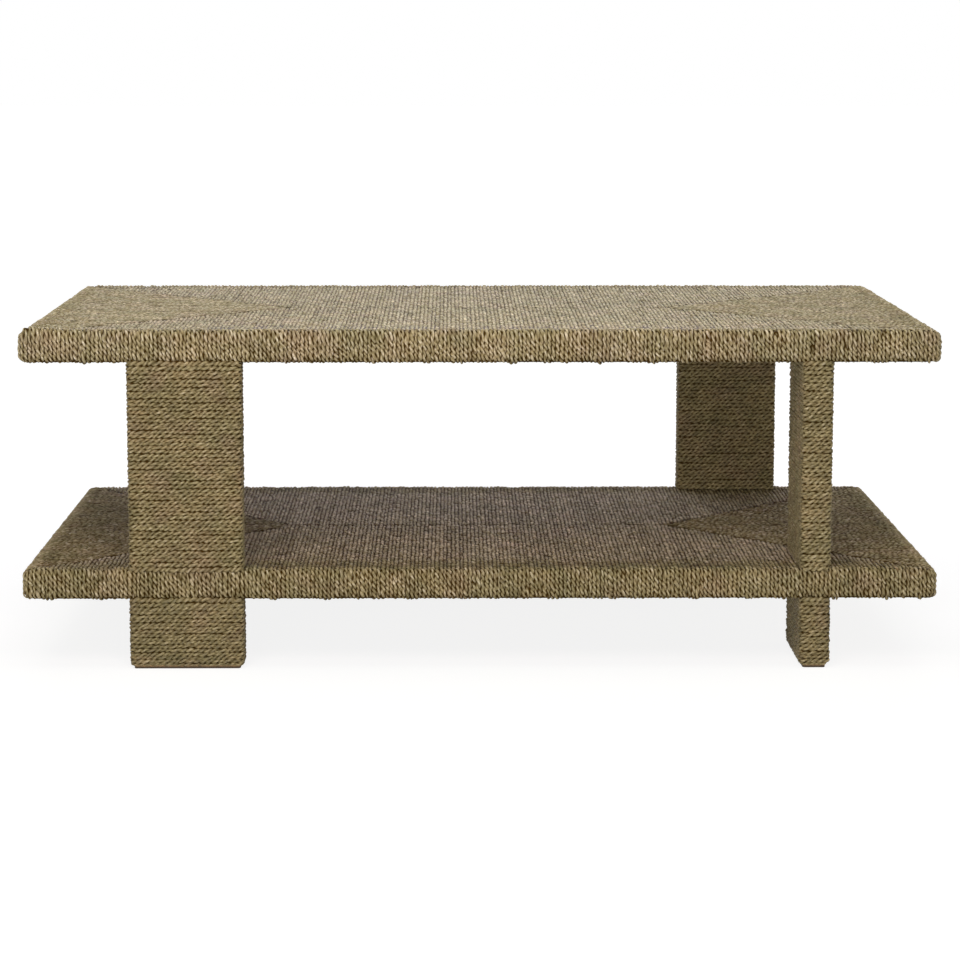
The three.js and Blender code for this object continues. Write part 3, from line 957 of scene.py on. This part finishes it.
def studio_floor():
    """A white floor that keeps a faint shadow near the table and fades into the backdrop."""
    material, tree = new_material("white_studio_floor")
    place = add_node(tree, "ShaderNodeNewGeometry")
    distance = add_node(tree, "ShaderNodeVectorMath", {0: place.outputs["Position"]}, operation="LENGTH")
    glow = add_node(tree, "ShaderNodeMapRange", {
        "Value": distance.outputs["Value"], "From Min": FLOOR_NEAR, "From Max": FLOOR_FAR,
        "To Min": FLOOR_GLOW, "To Max": 1.0})
    white = add_node(tree, "ShaderNodeEmission", {
        "Color": linear("#FFFFFF"), "Strength": glow.outputs[0]})
    shadow = add_node(tree, "ShaderNodeBsdfDiffuse", {"Color": linear("#8C8C8C")})
    seen_floor = add_node(tree, "ShaderNodeAddShader", {0: white.outputs[0], 1: shadow.outputs[0]})
    paint = add_node(tree, "ShaderNodeBsdfDiffuse", {"Color": linear("#C8C8C8")})
    shader = add_node(tree, "ShaderNodeMixShader",
                      {0: seen_ray(tree), 1: paint.outputs[0], 2: seen_floor.outputs[0]})
    finish_material(tree, shader)
    mesh = bpy.data.meshes.new("studio_floor")
    corners = [(x * FLOOR_REACH, y * FLOOR_REACH, 0) for x, y in ((-1, -1), (1, -1), (1, 1), (-1, 1))]
    mesh.from_pydata(corners, [], [(0, 1, 2, 3)])
    mesh.materials.append(material)
    floor = bpy.data.objects.new("studio_floor", mesh)
    bpy.context.scene.collection.objects.link(floor)


def softbox(name, place, size, power, colour):
    """A rectangular lamp that faces the middle of the table."""
    lamp = bpy.data.lights.new(name, "AREA")
    lamp.shape = "RECTANGLE"
    lamp.size, lamp.size_y = size
    lamp.energy = power
    lamp.color = linear(colour)[:3]
    box = bpy.data.objects.new(name, lamp)
    away = Vector(place) - Vector(TABLE_MIDDLE)
    box.matrix_world = Matrix.Translation(place) @ away.to_track_quat("Z", "Y").to_matrix().to_4x4()
    bpy.context.scene.collection.objects.link(box)


def studio_light():
    """A backdrop that is white to look at but lights the table weakly, and the softboxes."""
    world = bpy.data.worlds.new("white_studio")
    world.use_nodes = True
    tree = world.node_tree
    tree.nodes.clear()
    plain = add_node(tree, "ShaderNodeBackground", {
        "Color": linear("#FFFFFF"), "Strength": BACKDROP_LIGHT})
    white = add_node(tree, "ShaderNodeBackground", {"Color": linear("#FFFFFF"), "Strength": 1.0})
    mixed = add_node(tree, "ShaderNodeMixShader",
                     {0: seen_ray(tree), 1: plain.outputs[0], 2: white.outputs[0]})
    add_node(tree, "ShaderNodeOutputWorld", {"Surface": mixed.outputs[0]})
    bpy.context.scene.world = world
    for name, (place, size, power, colour) in SOFTBOXES.items():
        softbox(name, place, size, power, colour)


def studio_camera():
    data = bpy.data.cameras.new("photo_view")
    data.sensor_width = CAMERA_SENSOR
    data.lens = CAMERA_LENS
    data.shift_y = CAMERA_SHIFT
    camera = bpy.data.objects.new("photo_view", data)
    turns = [
        Matrix.Rotation(math.radians(CAMERA_PAN), 4, "Z"),
        Matrix.Rotation(math.radians(90 - CAMERA_DOWN), 4, "X"),
        Matrix.Rotation(math.radians(CAMERA_ROLL), 4, "Z"),
    ]
    camera.matrix_world = Matrix.Translation(CAMERA_PLACE)
    for turn in turns:
        camera.matrix_world = camera.matrix_world @ turn
    bpy.context.scene.collection.objects.link(camera)
    bpy.context.scene.camera = camera


# Making it all

# Seeds of the random draws, which count up from field to field and from leg to leg
SLAB_SEEDS = {"top": 1, "shelf": 101}
LEG_SEED = 500
FOOT_SEED = 600

# The side of each leg on which its cord steps down to the next turn
STEP_SIDES = {"front_left": "back", "front_right": "right", "back_right": "back", "back_left": "right"}

studio_camera()
studio_light()
studio_floor()

cord_finish = seagrass_cord()

for slab_name, first_seed in SLAB_SEEDS.items():
    slab = Slab(slab_name)
    for side_number, side_name in enumerate(SIDES):
        make_field(slab, side_name, first_seed + side_number, cord_finish)

for post_number, (place, step_side) in enumerate(STEP_SIDES.items()):
    flush_side = place.split("_")[0]
    leg = Post(f"{place}_leg_wrap", step_side, flush_side, foot=False)
    wind_post(leg, f"{place}_leg_cord", LEG_SEED + post_number, cord_finish)
    foot = Post(f"{place}_foot_wrap", step_side, flush_side, foot=True)
    wind_post(foot, f"{place}_foot_cord", FOOT_SEED + post_number, cord_finish)

# Pale matt pine, smoother and paler birch, and beech stained to a dull dark brown. The rings are
# drawn 3, 5 and 1.5 mm apart.
inner_finishes = {
    "rail": sawn_wood("planed_pine", "#D9B98A", "#B98F5C", 3.0, 0.65),
    "deck_panel": sawn_wood("birch_plywood", "#DCC49B", "#C2A273", 5.0, 0.7),
    "foot_sole": sawn_wood("dark_stained_beech", "#4C3A20", "#332614", 1.5, 0.7),
    "tie_bolt": zinc_plate(),
}
inner_finishes["leg_board"] = inner_finishes["foot_block"] = inner_finishes["rail"]
inner_finishes["flanged_nut"] = inner_finishes["tie_bolt"]
for name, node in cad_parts.items():
    for ending, finish in inner_finishes.items():
        if ending in name:
            for material_slot in node.material_slots:
                material_slot.link = "OBJECT"
                material_slot.material = finish

scene = bpy.context.scene
scene.view_settings.view_transform = "Standard"
